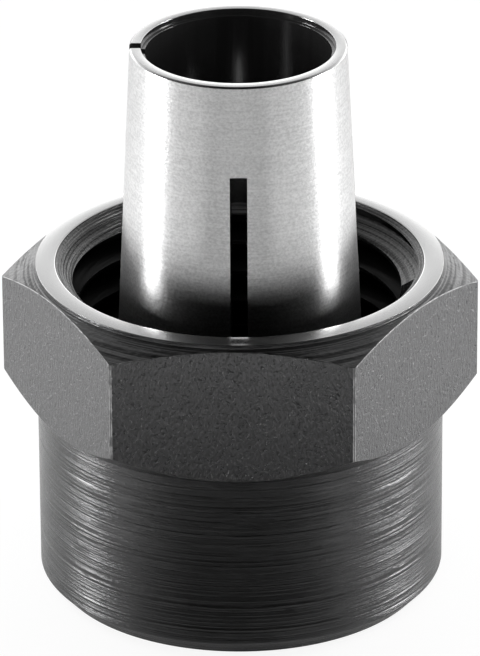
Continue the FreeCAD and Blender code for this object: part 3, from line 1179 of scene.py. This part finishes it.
def build_backdrop():
    """A world that is white to the camera, and a studio to light and metal."""
    world = bpy.data.worlds.new("studio")
    bpy.context.scene.world = world
    world.use_nodes = True
    world.node_tree.nodes.clear()
    shading = Shading(world.node_tree)
    direction = shading.node("ShaderNodeTexCoord", output="Generated")
    back, up = shading.outputs("ShaderNodeSeparateXYZ", "Y", "Z", inputs={"Vector": direction})
    level_share = (ABOVE_ONE - up * up) ** 0.5
    backwards = back / level_share
    behind_part = shading.smooth_step(backwards, *BACKDROP_EDGE)
    in_front = shading.smooth_step(-1 * backwards, *FRONT_EDGE)
    fading_up = shading.node("ShaderNodeValToRGB", {"stops": BACKDROP_FADE}, {"Fac": up})
    room = ROOM_LEVEL * (1 - in_front * FRONT_DARKNESS)
    studio = room + behind_part * fading_up * BACKDROP_LEVEL
    straight, through = shading.outputs(
        "ShaderNodeLightPath", "Is Camera Ray", "Is Transmission Ray")
    level = studio + (straight + through) * (1 - studio)
    sky = shading.node("ShaderNodeBackground", inputs={"Strength": level})
    shading.node("ShaderNodeOutputWorld", inputs={"Surface": sky})


build_backdrop()
print(f"backdrop {BACKDROP_LEVEL} times white behind the part, room {ROOM_LEVEL}")

# %% [markdown]
# The two bright stripes down the sleeve, and the streaks on the skirt below them, are the
# mirror images of two soft boxes. A stripe stands where the surface leans halfway between
# the camera and the box, so the boxes stand nearly square to the camera's direction.

# %% The two soft boxes
BOX_DISTANCE = 0.35
BOX_WIDTH = 0.09
BOX_HEIGHT = 0.12
BOX_POWER = 0.9
LEFT_AZIMUTH = -87
RIGHT_AZIMUTH = 96


def build_lamp(name, place, aim, size, power):
    """A soft lamp of a width and height, which points at a place. The camera never sees it."""
    lamp = bpy.data.lights.new(name, "AREA")
    lamp.shape = "RECTANGLE"
    lamp.size, lamp.size_y = size
    lamp.energy = power
    stand = bpy.data.objects.new(name, lamp)
    bpy.context.scene.collection.objects.link(stand)
    stand.location = place
    stand.rotation_euler = (aim - place).to_track_quat("-Z", "Y").to_euler()
    stand.visible_camera = False
    return stand


for name, azimuth in (("left_box", LEFT_AZIMUTH), ("right_box", RIGHT_AZIMUTH)):
    angle = math.radians(azimuth)
    middle = Vector((0, 0, BOX_HEIGHT / 2))
    place = middle + Vector((math.sin(angle), -math.cos(angle), 0)) * BOX_DISTANCE
    build_lamp(name, place, middle, (BOX_WIDTH, BOX_HEIGHT), BOX_POWER)
print(f"soft boxes at {LEFT_AZIMUTH} and {RIGHT_AZIMUTH} degrees, {BOX_DISTANCE} m away")

# %% [markdown]
# The side flats mirror the table beside the part, and the sleeve mirrors it in front, so it
# has to be well lit there. Three small lamps above it do so. Metal doesn't show the lamps
# themselves, so they make no stripes of their own.

# %% The lamps for the table
FILL_SIDE = 0.12
FILL_BEHIND = 0.03
FILL_IN_FRONT = 0.14
FILL_HEIGHT = 0.11
FILL_SIZE = 0.08
SIDE_POWER = 0.105
FRONT_POWER = 0.05

for name, across, back, power in (
    ("left_fill", -FILL_SIDE, FILL_BEHIND, SIDE_POWER),
    ("right_fill", FILL_SIDE, FILL_BEHIND, SIDE_POWER),
    ("front_fill", 0, -FILL_IN_FRONT, FRONT_POWER),
):
    place = Vector((across, back, FILL_HEIGHT))
    fill = build_lamp(name, place, Vector(AXIS), (FILL_SIZE, FILL_SIZE), power)
    fill.visible_glossy = False
    print(f"{name} at x {place.x:.2f}, y {place.y:.2f}, z {place.z:.2f} m")

# %% [markdown]
# The camera stands a little under half a metre away with a long lens, which is how a small
# part is photographed. Its place was worked out from the corners of the hexagon, the rim
# and the nose edge as they lie in the picture.

# %% The camera
CAMERA_DISTANCE = 443.7 * MM
AIM_HEIGHT = 18.455 * MM
CAMERA_RISE = math.radians(24.94)
CAMERA_ROLL = math.radians(-0.33)
LENS_LENGTH = 351.84
SENSOR_WIDTH = 36.0
NEAREST_SEEN = 0.01
FARTHEST_SEEN = 20.0


def build_camera():
    """A camera that looks at the middle of the part from above its front flat."""
    data = bpy.data.cameras.new("camera")
    data.lens = LENS_LENGTH
    data.sensor_width = SENSOR_WIDTH
    data.clip_start = NEAREST_SEEN
    data.clip_end = FARTHEST_SEEN
    camera = bpy.data.objects.new("camera", data)
    bpy.context.scene.collection.objects.link(camera)
    outwards = Vector((math.sin(CAMERA_AZIMUTH) * math.cos(CAMERA_RISE),
                       -math.cos(CAMERA_AZIMUTH) * math.cos(CAMERA_RISE),
                       math.sin(CAMERA_RISE)))
    camera.location = Vector((0, 0, AIM_HEIGHT)) + outwards * CAMERA_DISTANCE
    camera.rotation_mode = "QUATERNION"
    facing = (-outwards).to_track_quat("-Z", "Y")
    camera.rotation_quaternion = facing @ Quaternion((0, 0, 1), CAMERA_ROLL)
    bpy.context.scene.camera = camera


build_camera()
bpy.context.scene.view_settings.view_transform = "Standard"
print(f"camera {CAMERA_DISTANCE:.3f} m away, {math.degrees(CAMERA_RISE):.1f} degrees up")
